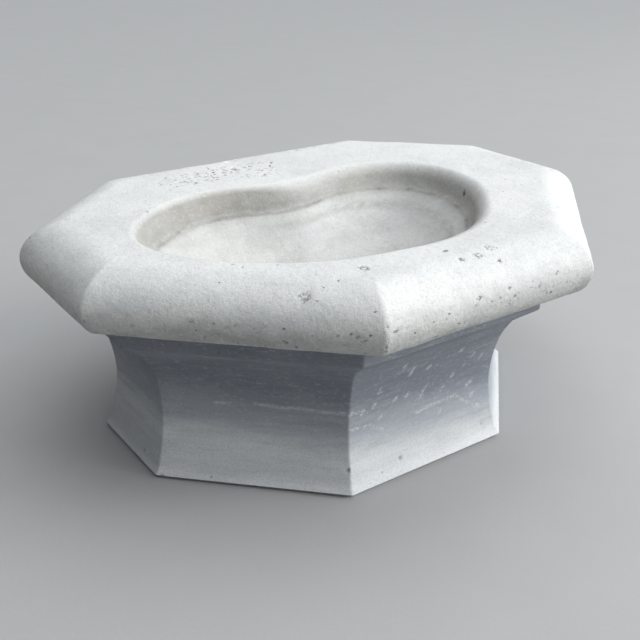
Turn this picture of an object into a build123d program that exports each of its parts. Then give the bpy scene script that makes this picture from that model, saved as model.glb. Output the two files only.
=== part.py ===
"""Baptismal font head: a marble basin stone set on a grey marble body, with its waste and plug.

Millimetres, +Z up. The origin is in the middle of the underside, X runs along the font's
length and -Y is its front. Seen from above the rim is an octagon with eight equal corner
angles, whose back side is longer than its front side.
"""

import os
from math import cos, radians, sqrt

from build123d import *

# Rim, seen from above
LENGTH = 440.0
DEPTH = 339.0
HEIGHT = 166.0
FRONT_FACE = 178.0
BACK_FACE = 252.0

# Edge of the rim: a long curve above the nose and a tighter one below it
RIM_THICKNESS = 44.0
TOP_ROUND_OUT = 33.0
TOP_ROUND_UP = 26.0
LOW_ROUND_OUT = 15.0

# Mortar bed between the two stones, held back from the face of the band
BED = 1.5
BED_SETBACK = 3.0

# Body, seen from above along its foot, and how far it stands off the rim's middle
BODY_LENGTH = 334.0
BODY_DEPTH = 252.0
BODY_FRONT_FACE = 138.0
BODY_BACK_FACE = 202.0
BODY_SHIFT = -9.5

# Side of the body, each place as (distance in from the foot, height)
FOOT_BEVEL = 3.0
COVE = [
    (0.0, FOOT_BEVEL),
    (3.5, 8.0),
    (6.5, 18.0),
    (9.5, 32.0),
    (11.0, 48.0),
    (9.5, 66.0),
    (5.0, 84.0),
    (-2.0, 97.0),
]
SOFFIT_END = (-18.0, 109.0)
BAND_PROUD = 19.0
BAND_BOTTOM = 110.0

# Bowl: the lip's outline, and its steps down as (scale about the drain, depth below the top)
DRAIN = (-16.0, -22.0)
LIP = [
    (122.0, 5.0),
    (100.0, 58.0),
    (50.0, 70.0),
    (-4.0, 59.0),
    (-62.0, 73.0),
    (-124.0, 61.0),
    (-169.0, 5.0),
    (-146.0, -60.0),
    (-86.0, -103.0),
    (-15.0, -115.0),
    (55.0, -95.0),
    (104.0, -45.0),
]
BOWL_DEPTH = 58.0
BOWL_STEPS = [
    (0.945, -4.0),
    (0.925, 8.0),
    (0.895, 19.0),
    (0.82, 27.0),
    (0.66, 38.5),
    (0.48, 50.5),
    (0.3, BOWL_DEPTH),
]
LIP_RADIUS = 10.0

# Boss under the basin stone, and the pocket and well in the body that take it and the waste
BOSS_LONG = 102.0
BOSS_WIDE = 76.0
BOSS_DRAFT = 12.0
BOSS_BOTTOM = 82.0
POCKET_GAP = 4.0
WELL_RADIUS = 42.0

# Dowels across the bed, each half in one stone
DOWEL_RADIUS = 4.0
DOWEL_HOLE_RADIUS = 6.5
DOWEL_DEPTH = 17.0
DOWEL_PLACES = [(-163.0, 0.0), (134.0, 0.0), (-75.0, 105.0), (60.0, 105.0)]

# Waste with a one-inch thread and a 32 mm spigot, and its putty, washer and backnut
FLANGE_RADIUS = 26.0
FLANGE_THICKNESS = 3.0
FLANGE_EDGE = 1.0
FLANGE_PLAY = 0.5
PUTTY = 1.0
THREAD_RADIUS = 16.6
SPIGOT_RADIUS = 16.0
SPIGOT_LENGTH = 21.0
SPIGOT_LEAD = 1.0
WASTE_BORE_RADIUS = 13.5
WASTE_HOLE_RADIUS = 18.0
WASTE_LENGTH = 62.0
STRAINER_DROP = 14.0
STRAINER_BAR = 2.5
STRAINER_ROOT = 0.5
WASHER_RADIUS = 28.0
WASHER_THICKNESS = 3.0
BACKNUT_ACROSS_FLATS = 46.0
BACKNUT_THICKNESS = 10.0

# Plug
SEAL_RADIUS = 17.0
SEAL_THICKNESS = 2.0
CAP_RADIUS = 18.0
CAP_THICKNESS = 3.0
CAP_EDGE = 1.0
KNOB_RADIUS = 4.0
NECK_RADIUS = 2.2
STEM_RADIUS = 3.0
STEM_LENGTH = 8.0
GUIDE_RADIUS = 12.9
GUIDE_THICKNESS = 2.5
PLUG_NUT_ACROSS_FLATS = 10.0
PLUG_NUT_THICKNESS = 3.0

# Clearance between a threaded piece and the one screwed or slipped on to it
THREAD_PLAY = 0.1

# Heights that follow from the sizes above
NOSE_Z = HEIGHT - TOP_ROUND_UP
JOINT_TOP = HEIGHT - RIM_THICKNESS
JOINT_LOW = JOINT_TOP - BED
FLOOR_Z = HEIGHT - BOWL_DEPTH
FLANGE_LOW = FLOOR_Z - FLANGE_THICKNESS
SPIGOT_LOW = FLOOR_Z - WASTE_LENGTH
POCKET_BOTTOM = BOSS_BOTTOM - POCKET_GAP
WASHER_LOW = BOSS_BOTTOM - WASHER_THICKNESS
CAP_LOW = FLOOR_Z + SEAL_THICKNESS
CAP_HIGH = CAP_LOW + CAP_THICKNESS
KNOB_Z = CAP_HIGH + KNOB_RADIUS
NECK_TOP = KNOB_Z - sqrt(KNOB_RADIUS**2 - NECK_RADIUS**2)
GUIDE_LOW = FLOOR_Z - GUIDE_THICKNESS


def octagon_sides(length, depth, front_face, back_face, shift=0.0):
    """The angle of each side's outward normal, and the side's distance from the Z axis.

    The octagon's own middle is moved along X by shift.
    """
    front_corner = (front_face / 2 + depth / 2) / sqrt(2)
    back_corner = (back_face / 2 + depth / 2) / sqrt(2)
    half = [depth / 2, front_corner, length / 2, back_corner]
    distances = half + [half[0]] + half[:0:-1]
    angles = [45 * k - 90 for k in range(len(distances))]
    return [(angle, distance + shift * cos(radians(angle))) for angle, distance in zip(angles, distances)]


def side_plane(angle):
    """The upright plane through the Z axis whose X points out of one side, and whose Y is up."""
    out = Vector(1, 0, 0).rotate(Axis.Z, angle)
    return Plane(origin=(0, 0, 0), x_dir=out, z_dir=out.cross(Vector(0, 0, 1)))


def drain_plane(height):
    """A level plane at one height, centred on the drain."""
    return Plane(origin=(*DRAIN, height))


def lip_points(scale):
    """The points of the lip's outline, scaled about the drain."""
    x0, y0 = DRAIN
    return [(x0 + scale * (x - x0), y0 + scale * (y - y0)) for x, y in LIP]


os.makedirs("parts", exist_ok=True)

rim_sides = octagon_sides(LENGTH, DEPTH, FRONT_FACE, BACK_FACE)
body_sides = octagon_sides(BODY_LENGTH, BODY_DEPTH, BODY_FRONT_FACE, BODY_BACK_FACE, BODY_SHIFT)

# Basin stone. The section of each side runs along it, and the eight runs meet in mitres.
with BuildPart() as basin_stone:
    for k, (angle, reach) in enumerate(rim_sides):
        with BuildSketch(side_plane(angle)):
            with BuildLine():
                over = EllipticalCenterArc((reach - TOP_ROUND_OUT, NOSE_Z), TOP_ROUND_OUT, TOP_ROUND_UP)
                under = EllipticalCenterArc(
                    (reach - LOW_ROUND_OUT, NOSE_Z), LOW_ROUND_OUT, NOSE_Z - JOINT_TOP, 270
                )
                Polyline(over @ 1, (-LENGTH, HEIGHT), (-LENGTH, JOINT_TOP), under @ 0)
            make_face()
        extrude(amount=LENGTH, both=True, mode=Mode.INTERSECT if k else Mode.ADD)
    # The boss that holds the bottom of the bowl
    for level, draft in ((JOINT_TOP, 0), (BOSS_BOTTOM, BOSS_DRAFT)):
        with BuildSketch(drain_plane(level)):
            Ellipse(BOSS_LONG - draft, BOSS_WIDE - draft)
    loft()
    # The bowl, with its lip rounded over
    for scale, drop in BOWL_STEPS:
        with BuildSketch(Plane.XY.offset(HEIGHT - drop)):
            with BuildLine():
                Spline(*lip_points(scale), periodic=True)
            make_face()
    loft(mode=Mode.SUBTRACT)
    top_face = basin_stone.faces().filter_by(Plane.XY).sort_by(Axis.Z)[-1]
    fillet(top_face.inner_wires()[0].edges(), radius=LIP_RADIUS)
    # The hole for the waste, with a rebate for its flange
    with Locations((*DRAIN, FLOOR_Z)):
        CounterBoreHole(
            radius=WASTE_HOLE_RADIUS,
            counter_bore_radius=FLANGE_RADIUS + FLANGE_PLAY,
            counter_bore_depth=FLANGE_THICKNESS + PUTTY,
            depth=FLOOR_Z - BOSS_BOTTOM,
        )
    with BuildSketch(Plane.XY.offset(JOINT_TOP)):
        with Locations(*DOWEL_PLACES):
            Circle(DOWEL_HOLE_RADIUS)
    extrude(amount=DOWEL_DEPTH, mode=Mode.SUBTRACT)
basin_stone.part.label = "basin_stone"
export_step(basin_stone.part, "parts/basin_stone.step")

# Body: mitred runs again, with a bevelled foot, a cove, a sloping soffit and a plain band
with BuildPart() as body_stone:
    for k, (angle, reach) in enumerate(body_sides):
        with BuildSketch(side_plane(angle)):
            with BuildLine():
                foot = Line((reach - FOOT_BEVEL, 0), (reach, FOOT_BEVEL))
                cove = Spline(*[(reach - setback, height) for setback, height in COVE])
                Polyline(
                    cove @ 1,
                    (reach - SOFFIT_END[0], SOFFIT_END[1]),
                    (reach + BAND_PROUD, BAND_BOTTOM),
                    (reach + BAND_PROUD, JOINT_LOW),
                    (-LENGTH, JOINT_LOW),
                    (-LENGTH, 0),
                    foot @ 0,
                )
            make_face()
        extrude(amount=LENGTH, both=True, mode=Mode.INTERSECT if k else Mode.ADD)
    for level, draft in ((JOINT_LOW, 0), (POCKET_BOTTOM, BOSS_DRAFT)):
        with BuildSketch(drain_plane(level)):
            Ellipse(BOSS_LONG + POCKET_GAP - draft, BOSS_WIDE + POCKET_GAP - draft)
    loft(mode=Mode.SUBTRACT)
    with BuildSketch(drain_plane(0)):
        Circle(WELL_RADIUS)
    extrude(amount=POCKET_BOTTOM, mode=Mode.SUBTRACT)
    with BuildSketch(Plane.XY.offset(JOINT_LOW)):
        with Locations(*DOWEL_PLACES):
            Circle(DOWEL_HOLE_RADIUS)
    extrude(amount=-DOWEL_DEPTH, mode=Mode.SUBTRACT)
body_stone.part.label = "body_stone"
export_step(body_stone.part, "parts/body_stone.step")

# Lime mortar bed, open over the pocket
with BuildPart() as bed_mortar:
    for k, (angle, reach) in enumerate(body_sides):
        with BuildSketch(side_plane(angle)):
            with BuildLine():
                edge = reach + BAND_PROUD - BED_SETBACK
                corners = [(edge, JOINT_LOW), (edge, JOINT_TOP), (-LENGTH, JOINT_TOP), (-LENGTH, JOINT_LOW)]
                Polyline(*corners, close=True)
            make_face()
        extrude(amount=LENGTH, both=True, mode=Mode.INTERSECT if k else Mode.ADD)
    with BuildSketch(drain_plane(JOINT_LOW)):
        Ellipse(BOSS_LONG + POCKET_GAP, BOSS_WIDE + POCKET_GAP)
    extrude(amount=BED, mode=Mode.SUBTRACT)
    with BuildSketch(Plane.XY.offset(JOINT_LOW)):
        with Locations(*DOWEL_PLACES):
            Circle(DOWEL_HOLE_RADIUS)
    extrude(amount=BED, mode=Mode.SUBTRACT)
bed_mortar.part.label = "bed_mortar"
export_step(bed_mortar.part, "parts/bed_mortar.step")

# Bronze dowels
with BuildPart() as dowels:
    with BuildSketch(Plane.XY.offset(JOINT_LOW - DOWEL_DEPTH)):
        with Locations(*DOWEL_PLACES):
            Circle(DOWEL_RADIUS)
    extrude(amount=2 * DOWEL_DEPTH + BED)
dowels.part.label = "dowels"
export_step(dowels.part, "parts/dowels.step")

# Lead run in around the dowels
with BuildPart() as dowel_lead:
    with BuildSketch(Plane.XY.offset(JOINT_LOW - DOWEL_DEPTH)):
        with Locations(*DOWEL_PLACES):
            Circle(DOWEL_HOLE_RADIUS)
            Circle(DOWEL_RADIUS, mode=Mode.SUBTRACT)
    extrude(amount=2 * DOWEL_DEPTH + BED)
dowel_lead.part.label = "dowel_lead"
export_step(dowel_lead.part, "parts/dowel_lead.step")

# Waste: flange, threaded tail, spigot and a cross of strainer bars in one casting
with BuildPart() as waste:
    with BuildSketch(drain_plane(FLANGE_LOW)):
        Circle(FLANGE_RADIUS)
    extrude(amount=FLANGE_THICKNESS)
    chamfer(waste.edges().sort_by(Axis.Z)[-1], length=FLANGE_EDGE)
    with BuildSketch(drain_plane(SPIGOT_LOW)):
        Circle(SPIGOT_RADIUS)
    extrude(amount=SPIGOT_LENGTH)
    chamfer(waste.edges().sort_by(Axis.Z)[0], length=SPIGOT_LEAD)
    with BuildSketch(drain_plane(SPIGOT_LOW + SPIGOT_LENGTH)):
        Circle(THREAD_RADIUS)
    extrude(amount=FLANGE_LOW - SPIGOT_LOW - SPIGOT_LENGTH)
    with BuildSketch(drain_plane(FLOOR_Z)):
        Circle(WASTE_BORE_RADIUS)
    extrude(amount=-WASTE_LENGTH, mode=Mode.SUBTRACT)
    with BuildSketch(drain_plane(FLOOR_Z - STRAINER_DROP)):
        bar_length = 2 * (WASTE_BORE_RADIUS + STRAINER_ROOT)
        Rectangle(bar_length, STRAINER_BAR)
        Rectangle(STRAINER_BAR, bar_length)
    extrude(amount=STRAINER_BAR)
waste.part.label = "waste"
export_step(waste.part, "parts/waste.step")

# Putty under the flange
with BuildPart() as waste_putty:
    with BuildSketch(drain_plane(FLANGE_LOW - PUTTY)):
        Circle(FLANGE_RADIUS)
        Circle(WASTE_HOLE_RADIUS, mode=Mode.SUBTRACT)
    extrude(amount=PUTTY)
waste_putty.part.label = "waste_putty"
export_step(waste_putty.part, "parts/waste_putty.step")

# Rubber washer and backnut that clamp the waste from below
with BuildPart() as waste_washer:
    with BuildSketch(drain_plane(WASHER_LOW)):
        Circle(WASHER_RADIUS)
        Circle(THREAD_RADIUS + THREAD_PLAY, mode=Mode.SUBTRACT)
    extrude(amount=WASHER_THICKNESS)
waste_washer.part.label = "waste_washer"
export_step(waste_washer.part, "parts/waste_washer.step")

with BuildPart() as waste_backnut:
    with BuildSketch(drain_plane(WASHER_LOW)):
        RegularPolygon(BACKNUT_ACROSS_FLATS / 2, 6, major_radius=False)
        Circle(THREAD_RADIUS + THREAD_PLAY, mode=Mode.SUBTRACT)
    extrude(amount=-BACKNUT_THICKNESS)
waste_backnut.part.label = "waste_backnut"
export_step(waste_backnut.part, "parts/waste_backnut.step")

# Plug: ball knob, cap and stem turned in one piece
with BuildPart() as plug:
    with BuildSketch(Plane(origin=(*DRAIN, 0), x_dir=(1, 0, 0), z_dir=(0, -1, 0))):
        with BuildLine():
            turned = Polyline(
                (0, CAP_LOW - STEM_LENGTH),
                (STEM_RADIUS, CAP_LOW - STEM_LENGTH),
                (STEM_RADIUS, CAP_LOW),
                (CAP_RADIUS, CAP_LOW),
                (CAP_RADIUS, CAP_HIGH - CAP_EDGE),
                (CAP_RADIUS - CAP_EDGE, CAP_HIGH),
                (NECK_RADIUS, CAP_HIGH),
                (NECK_RADIUS, NECK_TOP),
            )
            ball = ThreePointArc(turned @ 1, (KNOB_RADIUS, KNOB_Z), (0, KNOB_Z + KNOB_RADIUS))
            Line(ball @ 1, turned @ 0)
        make_face()
    revolve(axis=Axis((*DRAIN, 0), (0, 0, 1)))
plug.part.label = "plug"
export_step(plug.part, "parts/plug.step")

# Rubber seal under the cap
with BuildPart() as plug_seal:
    with BuildSketch(drain_plane(FLOOR_Z)):
        Circle(SEAL_RADIUS)
        Circle(STEM_RADIUS + THREAD_PLAY, mode=Mode.SUBTRACT)
    extrude(amount=SEAL_THICKNESS)
plug_seal.part.label = "plug_seal"
export_step(plug_seal.part, "parts/plug_seal.step")

# Nut with a round guide collar, which holds the seal and centres the plug in the bore
with BuildPart() as plug_nut:
    with BuildSketch(drain_plane(GUIDE_LOW)):
        Circle(GUIDE_RADIUS)
    extrude(amount=GUIDE_THICKNESS)
    with BuildSketch(drain_plane(GUIDE_LOW)):
        RegularPolygon(PLUG_NUT_ACROSS_FLATS / 2, 6, major_radius=False)
    extrude(amount=-PLUG_NUT_THICKNESS)
    with BuildSketch(drain_plane(FLOOR_Z)):
        Circle(STEM_RADIUS + THREAD_PLAY)
    extrude(amount=-GUIDE_THICKNESS - PLUG_NUT_THICKNESS, mode=Mode.SUBTRACT)
plug_nut.part.label = "plug_nut"
export_step(plug_nut.part, "parts/plug_nut.step")
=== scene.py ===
"""The looks of the baptismal font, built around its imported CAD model.

Metres, in the CAD model's own frame. Both stones are rebuilt as dense closed meshes on the CAD
outlines: rings of points follow each stone's section, and the columns of points keep to the
eight sides, so that every mitre runs along an edge. Wear, pits and chips are then cut into
those points, never added to them, so the stones stay inside the CAD model's box.
"""

from math import cos, pi, radians, sin, tan

import bpy
import numpy as np
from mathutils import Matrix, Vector, bvhtree, noise


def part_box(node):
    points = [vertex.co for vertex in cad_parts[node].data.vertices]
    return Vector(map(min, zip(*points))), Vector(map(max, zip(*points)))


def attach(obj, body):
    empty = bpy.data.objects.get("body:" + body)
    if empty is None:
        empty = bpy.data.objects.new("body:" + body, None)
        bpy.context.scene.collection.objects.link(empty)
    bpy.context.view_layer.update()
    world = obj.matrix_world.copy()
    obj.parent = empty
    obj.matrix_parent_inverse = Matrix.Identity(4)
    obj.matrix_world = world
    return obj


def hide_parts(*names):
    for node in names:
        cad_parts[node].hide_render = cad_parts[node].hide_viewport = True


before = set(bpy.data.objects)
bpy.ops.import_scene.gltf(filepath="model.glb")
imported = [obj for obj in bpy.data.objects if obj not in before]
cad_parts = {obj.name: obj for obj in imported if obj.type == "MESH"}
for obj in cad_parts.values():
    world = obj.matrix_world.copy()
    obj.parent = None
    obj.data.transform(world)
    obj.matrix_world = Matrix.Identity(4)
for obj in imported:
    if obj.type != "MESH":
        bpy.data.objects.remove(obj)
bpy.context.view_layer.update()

MM = 0.001

# Places taken from the frame
BASIN_LOW, BASIN_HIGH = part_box("basin_stone")
BED_LOW, BED_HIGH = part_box("bed_mortar")
WASTE_LOW, WASTE_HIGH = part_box("waste")
TOP = BASIN_HIGH.z
BOSS_BOTTOM = BASIN_LOW.z
JOINT_TOP = BED_HIGH.z
JOINT_LOW = BED_LOW.z
FLOOR = WASTE_HIGH.z
DRAIN = (WASTE_LOW + WASTE_HIGH) / 2

# The eight sides, counted from the front one anticlockwise as seen from above
SIDES = 8
TURN = 2 * pi / SIDES
FIRST_SIDE = -pi / 2

# Columns of points round each stone
COLUMNS_ON_SIDES = 680
COLUMNS_ON_CORNER = 6

# Section of the rim's edge, as in the CAD model
NOSE_Z = TOP - 26 * MM
TOP_ROUND_OUT = 33 * MM
LOW_ROUND_OUT = 15 * MM
RIM_ARRIS = 5 * MM

# Bowl: (drop below the top, scale of the lip's outline), and the radius that rounds the lip
BOWL_SECTION = [
    (-4, 0.945),
    (8, 0.925),
    (15, 0.908),
    (19.5, 0.888),
    (22, 0.862),
    (27, 0.80),
    (38.5, 0.64),
    (50.5, 0.46),
    (57.2, 0.32),
    (58, 0.22),
]
LIP_ROUND = 10 * MM
LIP_TIGHTER = 5 * MM

# How much one unit of scale counts against 1 mm of drop when the bowl's rings are spaced
SCALE_WEIGHT = 110

# The outline is gauged on the CAD model's wall at this drop, where the section has this scale
GAUGE_DROP = 12 * MM
GAUGE_SCALE = 0.916

# The crease round the bowl, where the wall meets the dished floor, climbs to the right
CREASE_DROP = 21 * MM
CREASE_WIDTH = 1.4 * MM
CREASE_CLIMB = 2.8 * MM
CREASE_REACH = 14 * MM
CREASE_SHADE_DROP = 18 * MM
CREASE_SHADE_WIDTH = 4.5 * MM

# A second, fainter line below it, on the right
SECOND_LINE_DROP = 30 * MM
SECOND_LINE_WIDTH = 2.4 * MM

# Rings in each part of the basin's section
LOW_EDGE_RINGS = 13
TOP_EDGE_RINGS = 27
LAND_RINGS = 28
LIP_RINGS = 8
WALL_RINGS = 36

# Rings in each part of the body's section, and across the surfaces that aren't seen
BEVEL_STEPS = (0.35, 0.7)
COVE_RINGS = 74
SOFFIT_RINGS = 10
BAND_HEIGHTS = (0.2, 1.5, 3, 4.5, 6, 7.5, 9)
HIDDEN_RINGS = 5
HOLE_RINGS = 2
BOSS_FACE_RINGS = 3
POCKET_FLOOR_RINGS = 2

# Faces that meet at more than this angle keep a sharp edge between them
SHARP_EDGE = radians(40)

# Boss, hole and rebate of the basin stone
BOSS_TOP_AXES = (102 * MM, 76 * MM)
BOSS_END_AXES = (90 * MM, 64 * MM)
WASTE_HOLE = 18 * MM
REBATE = 26.5 * MM
REBATE_FLOOR = FLOOR - 4 * MM

# Body: (distance in from the face of the band, height) up its side, then its pocket and well
FOOT_INSET = 19 * MM
FOOT_BEVEL = 3 * MM
COVE = [(19, 3), (22.5, 8), (25.5, 18), (28.5, 32), (30, 48), (28.5, 66), (24, 84), (17, 97)]
SOFFIT = (1 * MM, 109 * MM)
BAND_LOW = 110 * MM
BAND_EDGE = 0.6 * MM
BODY_ARRIS = 3 * MM
POCKET_TOP_AXES = (106 * MM, 80 * MM)
POCKET_END_AXES = (94 * MM, 68 * MM)
POCKET_BOTTOM = BOSS_BOTTOM - 4 * MM
WELL = 42 * MM

# Dowel holes, and how far their cutters stand out past the bed joint
DOWEL_HOLE = 6.5 * MM
DOWEL_DEPTH = 17 * MM
CUTTER_PAST = 5 * MM
CUTTER_SIDES = 48

# Waste fittings and plug, in millimetres about the drain
ROUND = 96
FLANGE_RADIUS = 26
FLANGE_THICKNESS = 3
THREAD_RADIUS = 16.6
THREAD_DEPTH = 1.1
THREAD_PITCH = 2.309
THREAD_RUNOUT = 2
THREAD_PLAY = 0.1
SPIGOT_RADIUS = 16
SPIGOT_LENGTH = 21
BORE_RADIUS = 13.5
STRAINER_DROP = 14
STRAINER_BAR = 2.5
STRAINER_LET_IN = 0.4
WASHER_RADIUS = 28
WASHER_THICKNESS = 3
WASHER_BULGE = 0.6
BACKNUT_FLATS = 46.0
BACKNUT_THICKNESS = 10
CAP_RADIUS = 18
CAP_THICKNESS = 3
CAP_GROOVES = (15, 14.2, 9, 8.2)
STEM_RADIUS = 3
STEM_LENGTH = 8
KNOB_RADIUS = 4
SEAL_RADIUS = 17
SEAL_THICKNESS = 2
SEAL_BULGE = 0.5
NUT_BORE = 3.1
GUIDE_RADIUS = 12.9
GUIDE_THICKNESS = 2.5
PLUG_NUT_FLATS = 10.0
PLUG_NUT_THICKNESS = 3

# Marks of use and weather, in millimetres: (x, y, z), with a radius for each chip and (x, z)
# alone for the stun marks, which are all on the body's front
RINGED_PITS = [
    (2.5, -146, 165),
    (-116.5, -127, 159),
    (-72, -124.5, 166),
    (16, -142, 165.5),
]
LAND_PITS = [
    (-80.5, -85, 166),
    (-12, -130.5, 166),
    (-11, -145.5, 165),
    (12.5, -155, 161.5),
]
RIM_PITS = [
    (-101, -157.5, 140.5),
    (-97.5, -160.5, 137),
    (-88, -168, 147),
    (-82, -169.5, 142.5),
    (-16, -168, 147.5),
    (9.5, -168, 148),
    (14, -169.5, 141.5),
    (18.5, -169, 136.5),
    (36.5, -169.5, 142.5),
    (41, -169.5, 138.5),
]
EDGE_CHIPS = [
    ((-13, 141, 165), 7),
    ((-4, 143, 164.5), 4),
    ((53, 141, 165.5), 6),
    ((64, 143, 165), 3.5),
    ((73, 141, 165.5), 4.5),
    ((92, 142, 165), 6),
    ((-88, 141, 165), 4),
    ((-190, 52, 163), 4),
    ((178, 30, 163.5), 3.5),
]
ROUGH_PATCH = (-36, 108, 166)
YELLOW_STAIN = (66, 67, 157)
BROWN_SPOT = (106, -22, 156)
LIP_SCAR = [(-77.5, 74.5, 165), (-74.5, 70.5, 164)]
CREASE_CRACK = [(-66, 56, 145), (-59.5, 53, 145), (-53.5, 48.5, 145), (-47, 47, 145)]
STUN_MARKS = [
    (-33, 85.5),
    (-23.5, 80.5),
    (-25, 76.5),
    (-9, 76.5),
    (19.5, 82),
    (33.5, 73.5),
    (42, 69.5),
    (16.5, 61.5),
    (-9.5, 58),
    (8, 53),
    (-50.5, 70),
    (-24.5, 58),
    (-12, 52.5),
    (-35, 58.5),
    (32.5, 48),
    (36, 50),
    (37, 39),
    (-53.5, 59.5),
    (-63.5, 57),
    (-73, 59),
    (-47.5, 48),
    (6, 35),
]
PALE_VEINS = [
    [
        (-15, -115.5, 40.5),
        (-3.5, -115.5, 43),
        (5, -115.5, 42.5),
        (21.5, -115.5, 43),
        (32.5, -116.5, 34),
    ],
    [(37.5, -117, 31), (44.5, -117.5, 27.5)],
    [(-74, -116, 59), (-61.5, -116, 57.5)],
    [(-74, -115, 47), (-55.5, -115.5, 44.5), (-45, -116, 37.5)],
    [(-139, -51, 59.5), (-132, -58.5, 60)],
    [
        (-119.5, -71, 61.5),
        (-108, -82, 60),
        (-98, -92.5, 60.5),
        (-86, -104, 59.5),
        (-75.5, -114.5, 60),
    ],
]
BODY_PITS = [(-33, -121, 12.5), (-76.5, -118.5, 18.5)]
BODY_FLECK = (-167.5, -22.5, 29.5)

# Stone colours: the white marble's, then the grey one's, whose beds climb to the left
WHITE = (0.80, 0.80, 0.785)
CLOUD_GREY = (0.70, 0.71, 0.71)
BED_GREY = (0.52, 0.53, 0.54)
# The edge's tone below the nose is partly dirt, partly painted shade under the rim's overhang
EDGE_DIRT_AND_SHADE = (0.31, 0.305, 0.29)
BOWL_DARKER = (0.41, 0.40, 0.38)
BOWL_WARM = (0.47, 0.43, 0.37)
# The crease's tone is dirt in its lines and painted shade in a band above it
CREASE_DIRT_AND_SHADE = (0.20, 0.19, 0.175)
CRACK_DARK = (0.06, 0.055, 0.05)
YELLOW = (0.46, 0.42, 0.30)
BROWN = (0.07, 0.05, 0.035)
GRAIN_GREY = (0.46, 0.46, 0.45)
GLINT = (0.90, 0.90, 0.89)
GRIT = (0.40, 0.40, 0.385)
SPECK = (0.16, 0.145, 0.125)
NICK = (0.20, 0.185, 0.16)
PIT_DIRT = (0.15, 0.135, 0.115)

# The grey marble's slate and foot tones are partly its own beds, partly painted shade high on the
# body and painted light at its foot
SLATE_AND_SHADE = (0.255, 0.275, 0.31)
GREY = (0.455, 0.48, 0.52)
FOOT_GREY_AND_LIGHT = (0.77, 0.785, 0.795)
DARK_BED = (0.14, 0.15, 0.18)
PALE_BED = (0.60, 0.62, 0.65)
PALE_CLOUD = (0.52, 0.54, 0.57)
FLECK = (0.74, 0.755, 0.77)
SMALL_FLECK = (0.72, 0.735, 0.75)
DARK_GRAIN = (0.14, 0.15, 0.175)
PALE_GRAIN = (0.76, 0.78, 0.80)
BODY_PIT_DIRT = (0.10, 0.10, 0.10)
STONE_IOR = 1.48
BED_TILT = 0.12

# Camera, as fitted to the photo
CAMERA_PLACE = (-0.3824, -0.5224, 0.3631)
CAMERA_DOWN = 0.4317
CAMERA_RIGHT = 0.6103
CAMERA_LENS = 50.49
CAMERA_SENSOR = 36

# Light: a dome that brightens towards its axis, and one broad lamp on that side
DOME_AXIS = (0.45, -0.17, 0.88)
DOME_EDGE = 0.12
DOME_LOW = 0.0
DOME_HIGH = 1.53
DOME_COLOUR = (0.95, 0.98, 1.0, 1.0)
KEY_PLACE = (2.1, -1.9, 1.2)
KEY_AIM = (0, 0, 0.1)
KEY_SIZE = 1.8
KEY_POWER = 38
KEY_COLOUR = (1.0, 0.99, 0.97)
FLOOR_SIZE = 12
FLOOR_GREY = (0.43, 0.43, 0.43)
FLOOR_CLOUD = (0.46, 0.46, 0.46)


# ---------------------------------------------------------------- numbers and noise


def smooth(values, low, high):
    """0 below low, 1 above high, and an eased step between them."""
    t = np.clip((values - low) / (high - low), 0, 1)
    return t * t * (3 - 2 * t)


def bell(values, middle, width):
    """1 at the middle, fading to about a third at the width from it."""
    return np.exp(-(((values - middle) / width) ** 2))


def fractal(points, size, octaves, seed, stretch=(1, 1, 1)):
    """Fractal noise between about -1 and 1, with features up to size metres across."""
    placed = points / (size * np.array(stretch)) + seed * np.array((7.31, -4.17, 2.93))
    return np.array([noise.fractal(Vector(p), 1.0, 2.0, octaves) for p in placed])


def through(points, count):
    """A smooth curve through the points, as count points evenly spaced along it."""
    p = np.array(points, float)
    p = np.vstack([2 * p[0] - p[1], p, 2 * p[-1] - p[-2]])
    fine = []
    for a, b, c, d in zip(p, p[1:], p[2:], p[3:]):
        bend = 2 * a - 5 * b + 4 * c - d
        twist = 3 * b - a - 3 * c + d
        for t in np.linspace(0, 1, 24, endpoint=False):
            fine.append(0.5 * (2 * b + (c - a) * t + bend * t**2 + twist * t**3))
    fine.append(p[-2])
    return evenly(np.array(fine), count)


def evenly(line, count):
    """count points evenly spaced along a line of points."""
    steps = np.linalg.norm(np.diff(line, axis=0), axis=1)
    along = np.concatenate([[0], np.cumsum(steps)])
    wanted = np.linspace(0, along[-1], count)
    return np.column_stack([np.interp(wanted, along, line[:, k]) for k in range(line.shape[1])])


# ---------------------------------------------------------------- rings of points


def side_normal(side):
    """The direction that one of the eight sides faces."""
    angle = FIRST_SIDE + side * TURN
    return np.array((cos(angle), sin(angle)))


def reaches(node):
    """How far a CAD node goes out from the Z axis over each of the eight sides."""
    flat = np.array([v.co.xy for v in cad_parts[node].data.vertices])
    return [float((flat @ side_normal(side)).max()) for side in range(SIDES)]


RIM = reaches("basin_stone")
BAND = reaches("body_stone")


def corner(reach, side, inset):
    """Where one side meets the next, both moved in by the same inset."""
    normals = np.array([side_normal(side), side_normal(side + 1)])
    distances = [reach[side % SIDES] - inset, reach[(side + 1) % SIDES] - inset]
    return np.linalg.solve(normals, distances)


def columns_per_side():
    """How many columns each side has, in proportion to its length on the rim."""
    corners = np.array([corner(RIM, side, 0) for side in range(SIDES)])
    lengths = np.linalg.norm(corners - np.roll(corners, 1, axis=0), axis=1)
    return np.round(lengths / lengths.sum() * COLUMNS_ON_SIDES).astype(int)


SIDE_COLUMNS = columns_per_side()


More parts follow.
